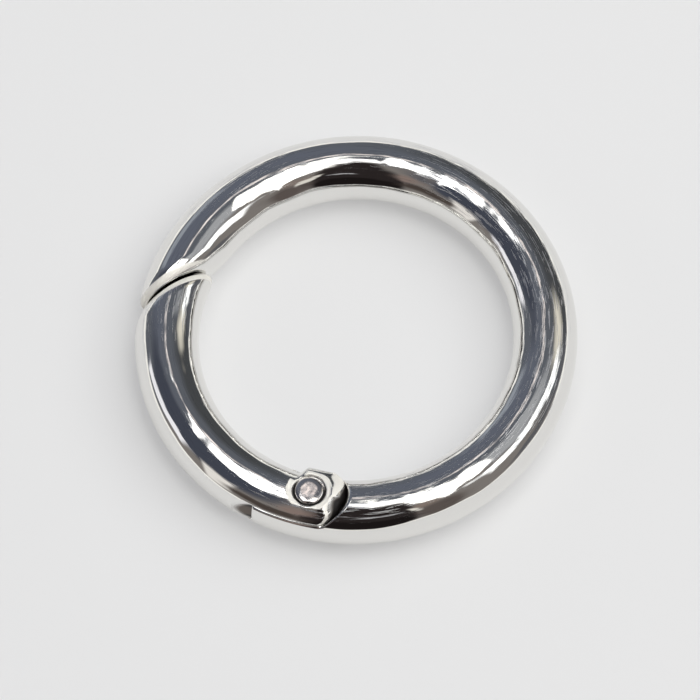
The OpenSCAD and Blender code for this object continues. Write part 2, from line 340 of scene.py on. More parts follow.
def gate_distance(p, s, g):
    """The bar as far as the knuckle's rounded end, with the knuckle's flat inner shoulder,
    less the spot faces, the rivet's recesses, the fork's slot and the spring's slot."""
    q = Places(p, g)
    past_flat = q.reach - s.flat_d / 2
    cone = (q.high - g.knuckle_z + past_flat * s.end_slope) / math.hypot(1, s.end_slope)
    end = cut(q.reach - g.knuckle_r, cone, s.knuckle_round)
    bar = cut(bar_distance(q, g), join(end, q.along - s.gate_lip))
    face = g.pin_r - (g.ring_r - g.bar_r) + s.shoulder_proud
    shoulder = box_distance(q.out, q.z, face, g.knuckle_z + OVERLAP, s.shoulder_round)
    shoulder = cut(np.maximum(shoulder, q.out), -s.shoulder_len - q.along, s.shoulder_end)
    shoulder = cut(shoulder, join(end, q.along), s.shoulder_edge)
    solid = join(bar, shoulder, s.shoulder_end)
    floor = g.knuckle_z + s.flat_round * rounding(past_flat / s.flat_round + 1)
    spot = np.maximum(past_flat, floor - q.high)
    recess = np.maximum(q.reach - (g.head_r + s.recess_play), g.head_seat - q.high)
    slot = np.maximum(outline_distance(q.out, q.along, slot_outline(s, g)), q.high - g.slot_z)
    spring = spring_slot_distance(q, s, g, -s.leg_len - s.spring_play, 0)
    for tool, edge in ((spot, EDGE), (recess, s.recess_round), (slot, EDGE), (spring, EDGE / 2)):
        solid = cut(solid, -tool, edge)
    return solid


# ---- Meshes ----

MARGIN = 0.3          # mm, from the bar to the edge of the lattice round it
HINGE_SPAN = 25       # degrees round the ring, from the hinge axis past its slots
SOCKET_SPAN = 16      # degrees, from the hinge axis past the tongue
KNUCKLE_SPAN = 14.5   # degrees, from the hinge axis past the knuckle's end
EDGE_ROWS = 12        # rows over the rounding of an end face
FACE_ROWS = 10        # rows over the rest of the face
SHARP = 50            # degrees between two faces, from which the edge between them is sharp


def skin(distance, start, end, out, high, cell, centre_r):
    """Quads over the zero surface of a distance function, on a lattice that follows the
    bar: turns from start to end, offsets within out and heights within high. Each lattice
    cell that the surface crosses gets one vertex, at the mean of the crossings of its
    edges, and each lattice edge that it crosses gets one quad between its four cells."""
    axes = [np.linspace(lo, hi, max(2, int(round((hi - lo) * scale / cell)) + 1))
            for lo, hi, scale in ((start, end, centre_r), (*out, 1), (*high, 1))]
    t, a, b = np.meshgrid(*axes, indexing="ij")
    field = distance(np.stack([(centre_r + a) * np.cos(t), (centre_r + a) * np.sin(t), b], -1))
    inside = field < 0
    total = np.zeros([n - 1 for n in field.shape] + [3])
    count = np.zeros([n - 1 for n in field.shape])
    crossings = []
    for d in range(3):
        below, above = [slice(None)] * 3, [slice(None)] * 3
        below[d], above[d] = slice(None, -1), slice(1, None)
        below, above = tuple(below), tuple(above)
        f0, f1 = field[below], field[above]
        crossed = inside[below] != inside[above]
        where = np.where(crossed, f0 / np.where(crossed, f0 - f1, 1), 0)
        crossings.append(crossed)
        e, f = [k for k in range(3) if k != d]
        for i in (0, 1):
            for j in (0, 1):
                part = [slice(None)] * 3
                part[e] = slice(i, crossed.shape[e] - 1 + i)
                part[f] = slice(j, crossed.shape[f] - 1 + j)
                c = crossed[tuple(part)]
                at = np.zeros(c.shape + (3,))
                at[..., d] = where[tuple(part)]
                at[..., e], at[..., f] = i, j
                total += at * c[..., None]
                count += c
    active = count > 0
    number = np.full(active.shape, -1)
    number[active] = np.arange(active.sum())
    place = np.argwhere(active) + total[active] / count[active][:, None]
    coords = [np.interp(place[:, k], np.arange(len(axes[k])), axes[k]) for k in range(3)]
    rho = centre_r + coords[1]
    points = np.stack([rho * np.cos(coords[0]), rho * np.sin(coords[0]), coords[2]], -1)
    quads = []
    for d in range(3):
        e, f = [(1, 2), (2, 0), (0, 1)][d]
        crossed = crossings[d]
        index = np.argwhere(crossed)
        across = index[:, (e, f)]
        last = np.array(crossed.shape)[[e, f]] - 1
        index = index[((across > 0) & (across < last)).all(1)]
        cells = []
        for i, j in ((-1, -1), (0, -1), (0, 0), (-1, 0)):
            at = index.copy()
            at[:, e] += i
            at[:, f] += j
            cells.append(number[tuple(at.T)])
        quad = np.stack(cells, -1)
        flip = inside[tuple(index.T)]
        quad[flip] = quad[flip][:, ::-1]
        quads.append(quad)
    return points, np.concatenate(quads)


def slope(distance, points, step=0.004):
    """Gradient of a distance function, by central differences."""
    result = np.zeros_like(points)
    for k in range(3):
        move = np.zeros(3)
        move[k] = step
        result[:, k] = (distance(points + move) - distance(points - move)) / (2 * step)
    return result


def settle(distance, points, rounds=4, least=0.2, most=0.05):
    """Moves points onto the zero surface, each along its gradient by its distance over the
    gradient's square, and gives the normals. That square counts as least or more, which
    matters where faces meet, and a round moves a point by most millimetres or less."""
    for _ in range(rounds):
        away = slope(distance, points)
        square = np.maximum((away * away).sum(-1), least)
        points = points - (distance(points) / square)[:, None].clip(-most, most) * away
    away = slope(distance, points)
    return points, away / np.linalg.norm(away, axis=-1, keepdims=True)


def open_loop(quads, points, centre_r, far_turn, near=0.05):
    """Vertices of the open edge near a turn of the ring, in radians, in order round the bar."""
    sides = np.sort(np.concatenate([quads[:, [k, (k + 1) % 4]] for k in range(4)]), axis=1)
    unique, count = np.unique(sides, axis=0, return_counts=True)
    rim = np.unique(unique[count == 1])
    turn = np.mod(np.arctan2(points[rim, 1], points[rim, 0]), 2 * math.pi)
    rim = rim[np.abs(turn - far_turn) < near]
    around = np.arctan2(points[rim, 2], np.hypot(points[rim, 0], points[rim, 1]) - centre_r)
    return rim[np.argsort(around)]


def lay_mesh(name, points, faces, normals=None, unrolled=None, **shares):
    """A mesh object at the origin, in metres. For the materials, unrolled gives each point's
    place on the bar as if it were straight, in millimetres, and shares are from 0 to 1.
    Without normals, the faces are turned outwards and the edges past SHARP stay sharp."""
    mesh = bpy.data.meshes.new(name)
    mesh.from_pydata((points * MM).tolist(), [], [f.tolist() for f in faces])
    mesh.update()
    if unrolled is not None:
        layer = mesh.attributes.new("unrolled", "FLOAT_VECTOR", "POINT")
        layer.data.foreach_set("vector", unrolled.ravel().astype(np.float32))
    for key, share in shares.items():
        layer = mesh.attributes.new(key, "FLOAT", "POINT")
        layer.data.foreach_set("value", share.astype(np.float32))
    mesh.shade_smooth()
    if normals is None:
        clean = bmesh.new()
        clean.from_mesh(mesh)
        bmesh.ops.recalc_face_normals(clean, faces=clean.faces)
        clean.to_mesh(mesh)
        clean.free()
        mesh.set_sharp_from_angle(angle=math.radians(SHARP))
    else:
        mesh.normals_split_custom_set_from_vertices(normals.tolist())
    ob = bpy.data.objects.new(name, mesh)
    bpy.context.scene.collection.objects.link(ob)
    return ob


def turn_at(g, rho, reach):
    """Angle at the ring's centre between the hinge axis and a point at those distances
    from the centre and from the hinge axis."""
    return np.arccos((rho ** 2 + g.pin_r ** 2 - reach ** 2) / (2 * rho * g.pin_r))


def bar_rows(s, g, loop_points, reach, back, round_high, whole_turns):
    """Rows of the bar from an open loop to its end face and on to the face's middle.
    A point of the bar lies at ring_r + r cos(a) from the centre and r sin(a) high. The
    face is an arc about the hinge, at that reach, and its edge a quarter of an ellipse,
    round_high high and longer than that by the end's stretch. The bar lies beyond the
    face, seen from the hinge, where back is 1, and before it where back is -1. The
    face's turn has that many whole turns added."""
    rho0 = np.hypot(loop_points[:, 0], loop_points[:, 1])
    around = np.arctan2(loop_points[:, 2], rho0 - g.ring_r)
    start = np.mod(np.arctan2(loop_points[:, 1], loop_points[:, 0]), 2 * math.pi)

    def turn(radius, deep):
        at = g.hinge - turn_at(g, g.ring_r + radius * np.cos(around), reach + back * deep)
        return at + 2 * math.pi * whole_turns

    reach_back = round_high * s.end_stretch
    stop = turn(g.bar_r, reach_back)
    count = int(abs(stop.mean() - start.mean()) * g.ring_r / s.row)
    share = np.linspace(0, 1, count + 1)[1:, None]
    straight = np.ones((count, 1))
    bend = np.linspace(0, math.pi / 2, EDGE_ROWS + 1)[1:, None]
    inner = np.linspace(1, 0, FACE_ROWS + 2)[1:-1, None] * (g.bar_r - round_high)
    radius = np.concatenate([straight * g.bar_r, g.bar_r - round_high * (1 - np.cos(bend)), inner])
    deep = np.concatenate([straight * reach_back, reach_back * (1 - np.sin(bend)), 0 * inner])
    turned = np.concatenate([start + (stop - start) * share, turn(radius[count:], deep[count:])])
    bend = np.arctan2(np.sin(bend), s.end_stretch * np.cos(bend))
    tilt = np.concatenate([0 * straight, bend, np.full_like(inner, math.pi / 2)])
    outward = np.stack([np.cos(turned), np.sin(turned), 0 * turned], -1)
    upward = np.array([0.0, 0.0, 1.0])
    rho = g.ring_r + radius * np.cos(around)
    points = rho[..., None] * outward + (radius * np.sin(around))[..., None] * upward
    skin_normal = np.cos(around)[:, None] * outward + np.sin(around)[:, None] * upward
    hinge = g.at_hinge(0, 0, 0.0)
    to_hinge = (hinge - points) * [1, 1, 0]
    to_hinge /= np.linalg.norm(to_hinge, axis=-1, keepdims=True)
    normals = skin_normal * np.cos(tilt)[..., None] + back * to_hinge * np.sin(tilt)[..., None]
    return points, normals / np.linalg.norm(normals, axis=-1, keepdims=True)


def end_bar(name, s, g, distance, lattice, far_turn, reach, back, round_high, whole_turns):
    """One whole piece: the skin at the hinge, on a lattice given as skin takes it, and the
    bar from its open edge, at far_turn, to its end face, given as bar_rows takes it."""
    points, quads = skin(distance, *lattice, s.cell, g.ring_r)
    points, normals = settle(distance, points)
    loop = open_loop(quads, points, g.ring_r, far_turn)
    rows, row_normals = bar_rows(s, g, points[loop], reach, back, round_high, whole_turns)
    count, sides = rows.shape[:2]
    base = len(points)
    grid = np.concatenate([loop[None], base + np.arange(count * sides).reshape(count, sides)])
    nxt = np.roll(grid, -1, 1)
    walls = np.stack([grid[:-1], grid[1:], nxt[1:], nxt[:-1]], -1).reshape(-1, 4)
    fan = np.stack([nxt[-1], grid[-1], np.full(sides, base + count * sides)], -1)
    if back < 0:
        walls, fan = walls[:, ::-1], fan[:, ::-1]
    middle_normal = row_normals[-1].mean(0)
    middle_normal /= np.linalg.norm(middle_normal)
    points = np.concatenate([points, rows.reshape(-1, 3), rows[-1].mean(0)[None]])
    normals = np.concatenate([normals, row_normals.reshape(-1, 3), middle_normal[None]])
    before = math.pi / 3 if back > 0 else math.pi     # turn that counts as before the hinge
    q = Places(points, g)
    turn = np.mod(q.turn - g.hinge + before, 2 * math.pi) - before
    unrolled = np.stack([turn * g.ring_r, q.rho - g.ring_r, q.z], -1)
    return lay_mesh(name, points, list(quads) + list(walls) + list(fan), normals, unrolled,
                    **finish_shares(points, normals, s, g, base))


FACED = 0.01          # mm either side of a machined flat that counts as the flat
FACED_UP = 0.95       # square of a normal's upward part, from which its face counts as level
MILLED_DEEP = 0.04    # mm either side of a machined flat that the cutter has left satin
MILLED_UP = 0.8       # upward part of a normal, from which its face is under the cutter
KNUCKLE_END = 5       # mm from the hinge axis, past the knuckle's end
NOSE_LONG = 2         # mm from the tip back along the gate, past its dressed face
DRESSED_TILT = 0.2    # part of a normal along the bar, from which its face has been dressed
DRESSED_BLEND = 0.04  # further, where it is satin all over
JOINT_FACING = 0.8    # part of a normal along the line to the hinge, in the gap of the nose
JOINT_BLEND = 0.1     # less than that, where a face is clear of the gap
BRUSHED_FROM = 1.3    # mm above the bar's middle, where the polish lines begin
BRUSHED_FULL = 2.3    # mm, where they are at their strongest
RECESS_START = 0.14   # mm below the bar's round, where the casting begins to show
RECESS_DEPTH = 0.2    # mm further, where it is bare
SHADE_AND_RESIDUE_FULL = 0.3    # mm above the spring's slot, where painted shade and polish residue fill the joints


def finish_shares(points, normals, s, g, base):
    """How far each finish has taken at each point, from 0 to 1. Points from number base on
    lie along the plain bar.

    recessed: the depth below the bar's round, less where it starts, over its range; it darkens the slots,
    partly as bare casting, partly as painted shade.
    shade_and_residue: the recessed share, growing over its range above the spring's slot; near black
    painted shade in the joints, with polish residue.
    as_cast: 1 less the square of the normal's part along the bar, and 0 on a level flat.
    milled_and_highlight: 1 at a flat's height, falling to 0 over its depth, and also 1 where the
    normal's part along the bar is past the dressed tilt, outside slots and nose gap; satin,
    and painted pale as a painted highlight.
    brushed: the as_cast share, growing with the height above the bar's middle."""
    q = Places(points, g)
    on_spot = q.reach <= s.flat_d / 2
    off_flat = np.abs(q.high - g.knuckle_z)
    along = (normals[:, 1] * points[:, 0] - normals[:, 0] * points[:, 1]) / q.rho

    # Depth into the slots, which darkens their colour: partly bare casting, partly painted shade.
    recessed = np.clip((-bar_distance(q, g) - RECESS_START) / RECESS_DEPTH, 0, 1)
    recessed[base:] = 0
    # Near black in the joints: painted shade, with polish residue.
    shade_and_residue = recessed * np.clip((q.high - g.spring_z) / SHADE_AND_RESIDUE_FULL, 0, 1)

    level = on_spot & (normals[:, 2] ** 2 >= FACED_UP)
    as_cast = np.where(level, np.clip(off_flat / FACED - 1, 0, 1), 1) * (1 - along ** 2)
    brushed = as_cast * np.clip((q.high - BRUSHED_FROM) / (BRUSHED_FULL - BRUSHED_FROM), 0, 1)

    under_cutter = on_spot & (normals[:, 2] >= MILLED_UP)
    flats = np.where(under_cutter, np.clip(2 - off_flat / MILLED_DEEP, 0, 1), 0)
    c, n = math.cos(g.hinge), math.sin(g.hinge)
    facing = np.abs((normals[:, 0] * c + normals[:, 1] * n) * q.out
                    + (normals[:, 1] * c - normals[:, 0] * n) * q.along) / q.reach
    clear = np.clip((JOINT_FACING - facing) / JOINT_BLEND, 0, 1)
    at_knuckle = np.where(q.reach < KNUCKLE_END, along, 0)
    at_nose = np.where(q.reach > g.gate_reach - NOSE_LONG, np.abs(along), 0)
    ends = np.maximum(np.clip((at_knuckle - DRESSED_TILT) / DRESSED_BLEND, 0, 1),
                      np.clip((at_nose - DRESSED_TILT) / DRESSED_BLEND, 0, 1) * clear)
    # Faced flats and dressed ends: satin, and painted paler as a painted highlight.
    milled_and_highlight = np.maximum(flats, ends * (recessed == 0))
    return {"recessed": recessed, "shade_and_residue": shade_and_residue, "as_cast": as_cast,
            "brushed": brushed, "milled_and_highlight": milled_and_highlight}


def tube(rows):
    """Quads over a closed tube: rows of points round a path, with both ends filled."""
    count, sides = rows.shape[:2]
    grid = np.arange(count * sides).reshape(count, sides)
    nxt = np.roll(grid, -1, 1)
    walls = np.stack([grid[:-1], nxt[:-1], nxt[1:], grid[1:]], -1).reshape(-1, 4)
    return list(walls) + [grid[0][::-1], grid[-1]]


HEAD_RINGS = 47       # rings of points over a rivet head
HEAD_CROWDING = 1.6   # how much closer they lie at its edge
HEAD_POWER = 6        # how square a head's dome is: 2 would be an ellipse
HEAD_PIT = 0.004      # mm, radius of the innermost ring
RIVET_SIDES = 96      # points round the rivet
LEG_ROWS = 24         # rows along a leg of the spring
COIL_ROWS = 64        # rows to a turn of its coil
WIRE_SIDES = 16       # points round the wire


def dents(x, y):
    """Unevenness of a set head, as a factor from 0 down to -3.2: two waves across it, 2 and
    1.5 mm long, multiplied, and a third of 1 mm at 0.6 of their height, less 1.6."""
    crossed = np.sin(3.1 * x + 1.1) * np.sin(4.3 * y - 0.6)
    return crossed + 0.6 * np.sin(5.7 * x - 2.2 * y + 0.4) - 1.6


def make_rivet(s, g):
    """Shank and two set heads, turned round the hinge axis. A head is flat in its middle and
    falls at its edge as the square root of one less the sixth power of the radius, dented
    by the set, least at its edge: as one less the square of the radius."""
    rim = g.head_seat + s.head_rim
    share = 1 - np.linspace(1, 0, HEAD_RINGS + 1)[:-1] ** HEAD_CROWDING
    dome = np.stack([g.head_r * share, rim + s.head_rise * np.sqrt(1 - share ** HEAD_POWER)], -1)
    dome[0, 0] = HEAD_PIT
    side = [[g.head_r, rim],
            [g.head_r - s.head_edge / 2, g.head_seat + s.head_edge / 2],
            [g.head_r - s.head_edge, g.head_seat],
            [g.rivet_r, g.head_seat]]
    half = np.concatenate([dome, side])
    profile = np.concatenate([half, half[::-1] * [1, -1]])
    radius, high = profile[:, :1], profile[:, 1:]
    turn = np.linspace(0, 2 * math.pi, RIVET_SIDES, endpoint=False)
    x, y, z = radius * np.cos(turn), radius * np.sin(turn), high + 0 * turn
    top = np.clip(1 - (x * x + y * y) / g.head_r ** 2, 0, 1) * (np.abs(z) > rim)
    z = z + np.sign(z) * top * dents(x, y) * s.head_dent
    rows = g.at_hinge(x, y, z)
    return lay_mesh("hinge_rivet_set", rows.reshape(-1, 3), tube(rows))


def make_spring(s, g):
    """Wire carried along a leg, round the coil as it sinks by one wire a turn, and along
    the other leg. A point lies at coil_r + wire_r cos(a) out and wire_r sin(a) up."""
    leg = np.linspace(0, s.leg_len, LEG_ROWS)
    turns = np.linspace(0, 2 * math.pi * s.spring_turns, COIL_ROWS * s.spring_turns + 1)[1:-1]
    wound = np.concatenate([0 * leg, turns, 0 * leg])[:, None]
    along = np.concatenate([-leg[::-1], 0 * turns, leg])[:, None]
    drop = np.concatenate([0 * leg, turns / turns.max(), 0 * leg + 1])[:, None]
    around = np.linspace(0, 2 * math.pi, WIRE_SIDES, endpoint=False)
    out = g.coil_r + g.wire_r * np.cos(around)
    rows = g.at_hinge(out * np.cos(wound), out * np.sin(wound) + along,
                      g.coil_rise * (0.5 - drop) + g.wire_r * np.sin(around))
    return lay_mesh("gate_spring", rows.reshape(-1, 3), tube(rows))


# ---- Materials ----

# Settings that several nodes share.
SMOOTH = {"interpolation_type": "SMOOTHSTEP"}
COLOURS = {"data_type": "RGBA"}

# Patterns in the plate: millimetres along the bar, millimetres across it, and finer detail.
# Real polish lines and specks are finer, and these are as coarse as they need to show.
FINE_LINES = (1.818, 0.1053, 2.0)   # single polish lines
BROAD_LINES = (8.333, 0.5, 1.0)     # bundles of them
STRETCHES = (12.5, 4.0, 0.0)        # where the lines are strong
SWELLS = (4.545, 3.333, 1.0)        # unevenness of the casting
RIVET_PIT = 0.4                     # mm from one pit in a rivet head to the next
RIVET_PIT_DEEP = 0.004              # mm
SPRING_SPECK = 0.2                  # mm from one speck on the spring to the next


def add(tree, kind, settings=None, **inputs):
    """Adds a node of that kind with its own settings. An input goes by its name, or by iN
    for number N, and takes a value, a socket, or a node for its first working output."""
    node = tree.nodes.new(kind)
    for name, value in (settings or {}).items():
        setattr(node, name, value)
    for name, value in inputs.items():
        key = int(name[1:]) if name[0] == "i" and name[1:].isdigit() else name.replace("_", " ")
        if isinstance(value, bpy.types.Node):
            value = next(socket for socket in value.outputs if socket.enabled)
        if isinstance(value, bpy.types.NodeSocket):
            tree.links.new(value, node.inputs[key])
        else:
            node.inputs[key].default_value = value
    return node


def new_material(name):
    """A metal material, its node tree and its shader."""
    mat = bpy.data.materials.new(name)
    mat.use_nodes = True
    shader = mat.node_tree.nodes["Principled BSDF"]
    shader.inputs["Metallic"].default_value = 1.0
    return mat, mat.node_tree, shader


def plate(context):
    """The plate, made once for both plated pieces."""
    name = "bright nickel plate on zinc casting"
    return bpy.data.materials.get(name) or plate_material(name, context.scene.gate_ring_finish)


def plate_material(name, finish):
    """Bright nickel plate over a polished zinc casting: a mirror with a faint warm cast.
    Polishing leaves lines along the bar, some of them dull, in stretches, and the casting
    under the plate is a little uneven, which makes reflections wander. The flats that a
    cutter faced and the dressed ends are satin, with no swell, and painted pale as a painted
    highlight. Deep in the slots the colour is dull, grey and darker: partly the bare casting,
    partly painted shade. The joints are near black: painted shade, with dark polish residue."""
    mat, tree, shader = new_material(name)
    where = add(tree, "ShaderNodeAttribute", {"attribute_name": "unrolled"}).outputs["Vector"]
    recessed, shade_and_residue, as_cast, brushed, milled_and_highlight = (
        add(tree, "ShaderNodeAttribute", {"attribute_name": share}).outputs["Fac"]
        for share in ("recessed", "shade_and_residue", "as_cast", "brushed", "milled_and_highlight"))
    fine, broad, stretches, swells = (
        add(tree, "ShaderNodeTexNoise", Scale=1.0, Detail=detail, Vector=add(
            tree, "ShaderNodeMapping", Vector=where, Scale=(1 / along, 1 / across, 1 / across)))
        for along, across, detail in (FINE_LINES, BROAD_LINES, STRETCHES, SWELLS))
    # Polish lines show on the top of the bar, and strongly only in some stretches.
    strong = add(tree, "ShaderNodeMapRange", SMOOTH, Value=stretches,
                 From_Min=0.38, From_Max=0.6, To_Min=0.35, To_Max=1.0)
    strong = add(tree, "ShaderNodeMath", {"operation": "MULTIPLY"}, i0=strong, i1=brushed)
    lines = add(tree, "ShaderNodeMapRange", SMOOTH, Value=fine, From_Min=0.53, From_Max=0.66)
    lines = add(tree, "ShaderNodeMath", {"operation": "MULTIPLY"}, i0=lines, i1=strong)
    # Each finish covers the ones before it. The faced flats' and dressed ends' pale colour is a painted
    # highlight, the slots' darker colour partly painted shade, and the joints' near black painted shade
    # with polish residue.
    tint = add(tree, "ShaderNodeMix", COLOURS, i0=lines, i6=(*finish.plate, 1), i7=(*finish.line, 1))
    for share, over in ((milled_and_highlight, finish.milled_and_highlight), (recessed, finish.slot), (shade_and_residue, finish.shade_and_residue)):
        tint = add(tree, "ShaderNodeMix", COLOURS, i0=share, i6=tint, i7=(*over, 1))
    # Lines, slots and milled faces scatter what they mirror, and the last two look less metallic.
    dull = add(tree, "ShaderNodeMath", {"operation": "MAXIMUM"}, i0=lines, i1=recessed)
    dull = add(tree, "ShaderNodeMath", {"operation": "MAXIMUM"}, i0=dull, i1=milled_and_highlight)
    rough = add(tree, "ShaderNodeMapRange", SMOOTH, Value=dull,
                To_Min=finish.roughness, To_Max=finish.dull_roughness)
    bare = add(tree, "ShaderNodeMapRange", SMOOTH, Value=recessed, To_Min=1.0, To_Max=0.25)
    satin = add(tree, "ShaderNodeMapRange", SMOOTH, Value=milled_and_highlight, To_Min=1.0, To_Max=0.4)
    metal = add(tree, "ShaderNodeMath", {"operation": "MULTIPLY"}, i0=bare, i1=satin)
    # The casting's swells, with the broad polish lines and then the fine ones on them.
    bump = add(tree, "ShaderNodeBump", Strength=as_cast, Distance=finish.swell, Height=swells)
    for height, deep in ((broad, finish.line_depth), (fine, finish.line_depth / 3)):
        bump = add(tree, "ShaderNodeBump", Strength=strong, Distance=deep, Height=height, Normal=bump)
    tree.links.new(tint.outputs[2], shader.inputs["Base Color"])
    tree.links.new(rough.outputs[0], shader.inputs["Roughness"])
    tree.links.new(metal.outputs[0], shader.inputs["Metallic"])
    tree.links.new(bump.outputs[0], shader.inputs["Normal"])
    return mat


def rivet_material(finish):
    """The same nickel plate on a steel rivet. The set has left its heads faintly pitted,
    which breaks up what they mirror."""
    mat, tree, shader = new_material("nickel plate on set steel rivet")
    pits = add(tree, "ShaderNodeTexNoise", Scale=1 / (RIVET_PIT * MM), Detail=2.0,
               Vector=add(tree, "ShaderNodeTexCoord").outputs["Object"])
    rough = add(tree, "ShaderNodeMapRange", SMOOTH, Value=pits,
                From_Min=0.3, From_Max=0.7, To_Min=0.05, To_Max=0.16)
    bump = add(tree, "ShaderNodeBump", Strength=1.0, Distance=RIVET_PIT_DEEP * MM, Height=pits)
    shader.inputs["Base Color"].default_value = (*finish.rivet, 1)
    tree.links.new(rough.outputs[0], shader.inputs["Roughness"])
    tree.links.new(bump.outputs[0], shader.inputs["Normal"])
    return mat


def spring_material(finish):
    """Drawn spring steel: satin grey, with specks that the drawing left brighter."""
    mat, tree, shader = new_material("drawn spring steel")
    specks = add(tree, "ShaderNodeTexNoise", Scale=1 / (SPRING_SPECK * MM), Detail=2.0,
                 Vector=add(tree, "ShaderNodeTexCoord").outputs["Object"])
    rough = add(tree, "ShaderNodeMapRange", SMOOTH, Value=specks,
                From_Min=0.3, From_Max=0.7, To_Min=0.22, To_Max=0.4)
    shader.inputs["Base Color"].default_value = (*finish.spring, 1)
    tree.links.new(rough.outputs[0], shader.inputs["Roughness"])
    return mat


# ---- Stage ----

# Cards of light and shade that the plate mirrors. Places are degrees away from straight
# up, as seen from above: to the right, and away from the camera.
# name, place, half sizes, turn, soft edge, colour, strength, shape. A card with a soft
# edge below 0 covers everything outside its outline.
CARDS = [
    ("lavender back wall", (-26, 46), (24, 26), 30, 0.5, "#646976", 1.0, "round"),
    ("back window", (-42, 56), (7, 13), -38, 0.3, "#989ea8", 1.0, "square"),
    ("dark back wall", (44, 52), (38, 28), -40, 0.4, "#494b4e", 1.0, "round"),
    ("grey side of the room", (0, -62), (130, 60), 0, 0.3, "#827d7a", 1.0, "square"),
    ("blue side wall", (-40, -4), (24, 32), 8, 0.25, "#454955", 1.0, "round"),
    ("side window", (-69, 2), (7, 19), 8, 0.2, "#f4f4fa", 1.1, "square"),
    ("low side window", (-58, -36), (8, 14), -42, 0.3, "#f0ece8", 1.0, "square"),
    ("pale lamp shade", (47, 26), (11, 9), 0, 0.6, "#e4dfd2", 1.0, "round"),
    ("grey ceiling", (24, 4), (14, 15), -35, 0.35, "#aaacb0", 1.0, "round"),
    ("right bright wall", (48, -4), (8, 24), -18, 0.15, "#fafcfc", 1.8, "square"),
    ("right dark shelf", (76, -6), (6, 28), 0, 0.4, "#626266", 1.0, "square"),
    ("ceiling light, left", (-12.5, 4), (9, 20), -24, 0.1, "#ffffff", 2.8, "diamond"),
    ("ceiling light, middle", (0, -2), (6, 10), 0, 0.2, "#ffffff", 2.0, "diamond"),
    ("ceiling light, right", (14.5, -9), (11, 30), 30, 0.1, "#fffefa", 2.8, "diamond"),
    ("dark standing figure", (-1, -64), (30, 62), 0, 0.1, "#2c2727", 1.0, "diamond"),
    ("dark base", (0, -74), (32, 15), 0, 0.2, "#1d1919", 1.0, "round"),
    ("brown, left", (-24, -43), (6, 12), -25, 0.5, "#8a7a74", 1.0, "round"),
    ("brown, right", (21, -36), (5, 10), 30, 0.5, "#8a7d76", 1.0, "round"),
    ("brown shade, low right", (38, -58), (13, 22), 30, 0.4, "#5f5754", 1.0, "round"),
    ("brown shade, low left", (-42, -54), (20, 9), -38, 0.4, "#4c4440", 1.0, "round"),
    ("crown light", (-2, 24.5), (2, 2), 0, 0.8, "#fff6f3", 1.2, "round"),
    ("small glint", (4, -45), (6, 2), 10, 0.4, "#c8c8cc", 1.0, "round"),
    ("glint beside it", (18, -43), (2.5, 10), 40, 0.4, "#e8e4dc", 1.0, "round"),
    ("pale table, far off", (1, -2), (85, 85), 0, -0.02, "#f4f3ef", 1.15, "round"),
]
BETWEEN_CARDS = "#61656d"     # the room where no card lies
CARD_CORNER = 0.1             # rounding of a square card's corners, as a share of its half size


def make_world():
    """The surroundings, as cards laid on a map of directions: each direction's angle from
    straight up, carried along its heading, is its place in degrees on the map. A card's
    edge is where a measure of its own x and y reaches 1: the larger of them on a square,
    their length on a round and their sum on a diamond."""
    w = bpy.data.worlds.new("studio surroundings")
    bpy.context.scene.world = w
    w.use_nodes = True
    tree = w.node_tree
    tree.nodes.clear()
    where = add(tree, "ShaderNodeTexCoord").outputs["Generated"]
    split = add(tree, "ShaderNodeSeparateXYZ", Vector=where)
    from_up = add(tree, "ShaderNodeMath", {"operation": "ARCCOSINE"}, i0=split.outputs["Z"])
    degrees = add(tree, "ShaderNodeMath", {"operation": "DEGREES"}, i0=from_up)
    level = add(tree, "ShaderNodeVectorMath", {"operation": "MULTIPLY"}, i0=where, i1=(1, 1, 0))
    heading = add(tree, "ShaderNodeVectorMath", {"operation": "NORMALIZE"}, i0=level)
    place = add(tree, "ShaderNodeVectorMath", {"operation": "SCALE"}, i0=heading, Scale=degrees)
    tint = linear(BETWEEN_CARDS)
    for name, at, half, turn, soft, shade, strength, shape in CARDS:
        local = add(tree, "ShaderNodeMapping", {"vector_type": "TEXTURE", "label": name}, Vector=place,
                    Location=(*at, 0), Rotation=(0, 0, math.radians(turn)), Scale=(*half, 1))
        size = add(tree, "ShaderNodeVectorMath", {"operation": "ABSOLUTE"}, i0=local)
        if shape == "round":
            reach = add(tree, "ShaderNodeVectorMath", {"operation": "LENGTH"}, i0=size)
        elif shape == "diamond":
            reach = add(tree, "ShaderNodeVectorMath", {"operation": "DOT_PRODUCT"}, i0=size, i1=(1, 1, 0))
        else:
            xy = add(tree, "ShaderNodeSeparateXYZ", Vector=size)
            reach = add(tree, "ShaderNodeMath", {"operation": "SMOOTH_MAX"}, i0=xy.outputs["X"],
                        i1=xy.outputs["Y"], i2=CARD_CORNER)
        mask = add(tree, "ShaderNodeMapRange", SMOOTH, Value=reach, From_Min=1 + soft, From_Max=1 - soft)
        tint = add(tree, "ShaderNodeMix", COLOURS, i0=mask, i6=tint,
                   i7=[c * strength for c in linear(shade)[:3]] + [1])
    background = add(tree, "ShaderNodeBackground", Color=tint, Strength=1.0)
    add(tree, "ShaderNodeOutputWorld", Surface=background)


IMAGE_PX = 700                # width and height of the picture
SENSOR_MM = 36.0              # width of the camera's sensor
CAMERA_AT = 2.0               # m, far enough for an even scale across the ring
PX_PER_MM = 12.58             # pixels to a millimetre in the middle of the picture
RING_AT_PX = (355.64, 339.09)     # the ring's centre in the picture, from its top left corner
# The ways that lie to the right and up in the picture, in the ring's frame.
VIEW_RIGHT = Vector((0.99956, 0.0, -0.02959))
VIEW_UP = Vector((0.01223, 0.91056, 0.41318))


